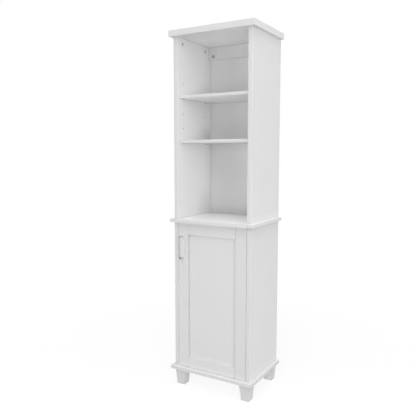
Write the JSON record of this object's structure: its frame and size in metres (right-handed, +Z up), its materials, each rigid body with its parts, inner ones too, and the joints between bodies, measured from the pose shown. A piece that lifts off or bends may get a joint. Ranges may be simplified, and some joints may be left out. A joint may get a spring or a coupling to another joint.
{
  "type": "linen cabinet",
  "caption": "Tall narrow white linen cabinet: open bay with adjustable shelves over a cupboard with a framed inset door, on square tapered feet.",
  "frame": {"origin": "on the floor, under the middle of the cabinet's bounding box, handle included", "axes": "+Z up, front and door towards -Y, +X to the right seen from the front"},
  "size_m": [0.406, 0.322, 1.575],
  "materials": {
    "white_lacquer": "smooth white lacquer on fibreboard, satin",
    "door_lacquer": "sprayed white lacquer on a framed fibreboard door, satin",
    "white_backing": "thin hardboard with a white coated face",
    "satin_nickel": "satin nickel plate",
    "pin_nickel": "nickel plated steel",
    "cast_zinc": "die-cast zinc",
    "bright_steel": "zinc plated steel",
    "beech_dowel": "bare beech",
    "white_nylon": "moulded nylon",
    "dark_magnet": "ferrite magnet with steel poles"
  },
  "bodies": {
    "carcass": {"top_cap": "white_lacquer", "counter_board": "white_lacquer", "base_board": "white_lacquer", "upper_left_side": "white_lacquer", "upper_right_side": "white_lacquer", "lower_left_side": "white_lacquer", "lower_right_side": "white_lacquer", "hanging_rail": "white_lacquer", "upper_shelf": "white_lacquer", "middle_shelf": "white_lacquer", "cabinet_shelf": "white_lacquer", "upper_back_panel": "white_backing", "lower_back_panel": "white_backing", "front_left_foot": "white_lacquer", "front_right_foot": "white_lacquer", "rear_left_foot": "white_lacquer", "rear_right_foot": "white_lacquer", "upper_shelf_pins": "pin_nickel", "middle_shelf_pins": "pin_nickel", "cabinet_shelf_pins": "pin_nickel", "cap_cams": "cast_zinc", "rail_cams": "cast_zinc", "counter_cams": "cast_zinc", "cap_cam_bolts": "bright_steel", "rail_cam_bolts": "bright_steel", "counter_cam_bolts": "bright_steel", "counter_screws": "bright_steel", "base_screws": "bright_steel", "foot_bolts": "bright_steel", "catch_screws": "bright_steel", "cap_dowels": "beech_dowel", "rail_dowels": "beech_dowel", "catch_housing": "white_nylon", "pivot_bushes": "white_nylon", "catch_magnet": "dark_magnet"},
    "door": {"door_left_stile": "door_lacquer", "door_right_stile": "door_lacquer", "door_top_rail": "door_lacquer", "door_bottom_rail": "door_lacquer", "door_panel": "door_lacquer", "door_handle": "satin_nickel", "handle_screws": "bright_steel", "pivot_pins": "bright_steel", "strike_plate": "bright_steel", "strike_screw": "bright_steel"}
  },
  "joints": [
    {"name": "door_swing", "type": "hinge", "parent": "carcass", "child": "door", "pos_m": [0.1458, -0.118, 0.42], "axis": [0, 0, 1], "range_deg": [0, 135]}
  ]
}
